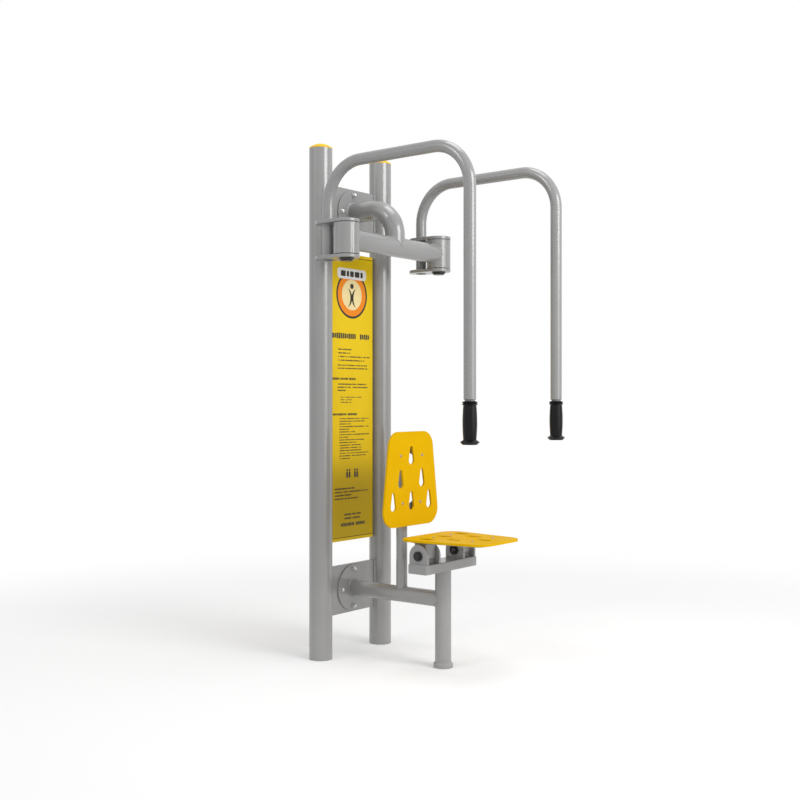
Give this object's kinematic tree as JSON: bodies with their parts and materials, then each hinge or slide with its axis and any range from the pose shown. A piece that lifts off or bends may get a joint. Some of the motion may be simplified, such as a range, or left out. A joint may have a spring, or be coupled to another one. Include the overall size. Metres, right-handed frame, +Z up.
{
  "type": "outdoor pec fly machine",
  "caption": "Outdoor pec fly machine: two steel uprights, a yoke with swinging arms that hang in front, a fixed backrest and a seat that folds up.",
  "frame": {"origin": "on the ground, in the middle of the footprint, on the plane of symmetry", "axes": "+Z up, the user faces -Y, +X to the user's left, the uprights stand at +Y"},
  "size_m": [0.664, 0.8374, 1.966],
  "materials": {
    "grey_paint": "semi-gloss powder coat on zinc primed steel",
    "yellow_cap": "moulded polyethylene",
    "yellow_board": "solid-coloured polyethylene board with a fine matt grain",
    "panel_yellow": "yellow coated sheet",
    "black_plastic": "moulded polyamide",
    "black_rubber": "matt moulded rubber",
    "stainless": "plain stainless fasteners",
    "plated_steel": "zinc plated turned steel",
    "bearing_steel": "ground bearing steel",
    "nylon": "natural polyamide"
  },
  "bodies": {
    "frame": {"post_left": "grey_paint", "post_right": "grey_paint", "post_cap_left": "yellow_cap", "post_cap_right": "yellow_cap", "upper_mount_plate": "grey_paint", "lower_mount_plate": "grey_paint", "upper_flange": "grey_paint", "lower_flange": "grey_paint", "flange_bolts": "stainless", "flange_washers": "stainless", "flange_dome_nuts": "stainless", "yoke_tube": "grey_paint", "crossbar": "grey_paint", "hub_left": "grey_paint", "hub_right": "grey_paint", "bearing_outer_races": "bearing_steel", "lower_tube": "grey_paint", "seat_post": "grey_paint", "seat_post_foot": "grey_paint", "seat_beam": "grey_paint", "hinge_cheeks": "grey_paint", "hinge_pins": "plated_steel", "hinge_pin_nuts": "plated_steel", "hinge_caps": "black_plastic", "backrest_post": "grey_paint", "backrest_post_plug": "black_plastic", "backrest_brackets": "grey_paint", "backrest_board": "yellow_board", "backrest_screws": "stainless", "backrest_nuts": "stainless", "panel_tray": "panel_yellow", "panel_face": "panel_yellow", "panel_rails": "grey_paint", "panel_fasteners": "stainless"},
    "arm_left": {"arm_tube_left": "grey_paint", "arm_plates_left": "grey_paint", "axle_left": "plated_steel", "spacer_rings_left": "plated_steel", "bearing_inner_races_left": "bearing_steel", "bearing_balls_left": "bearing_steel", "lock_nut_left": "plated_steel", "hub_cap_left": "black_plastic", "grip_spigot_left": "grey_paint", "grip_left": "black_rubber"},
    "arm_right": {"arm_tube_right": "grey_paint", "arm_plates_right": "grey_paint", "axle_right": "plated_steel", "spacer_rings_right": "plated_steel", "bearing_inner_races_right": "bearing_steel", "bearing_balls_right": "bearing_steel", "lock_nut_right": "plated_steel", "hub_cap_right": "black_plastic", "grip_spigot_right": "grey_paint", "grip_right": "black_rubber"},
    "seat": {"seat_board": "yellow_board", "seat_screws": "stainless", "seat_carrier": "grey_paint", "seat_knuckles": "grey_paint", "hinge_bushes": "nylon"}
  },
  "joints": [
    {"name": "arm_swing_left", "type": "hinge", "parent": "frame", "child": "arm_left", "pos_m": [-0.284, 0.15527, 1.573], "axis": [0, 0, -1], "range_deg": [-25, 45]},
    {"name": "arm_swing_right", "type": "hinge", "parent": "frame", "child": "arm_right", "pos_m": [0.284, 0.15527, 1.573], "axis": [0, 0, 1], "range_deg": [-25, 45]},
    {"name": "seat_fold", "type": "hinge", "parent": "frame", "child": "seat", "pos_m": [0, -0.07172, 0.426], "axis": [-1, 0, 0], "range_deg": [0, 90]}
  ]
}
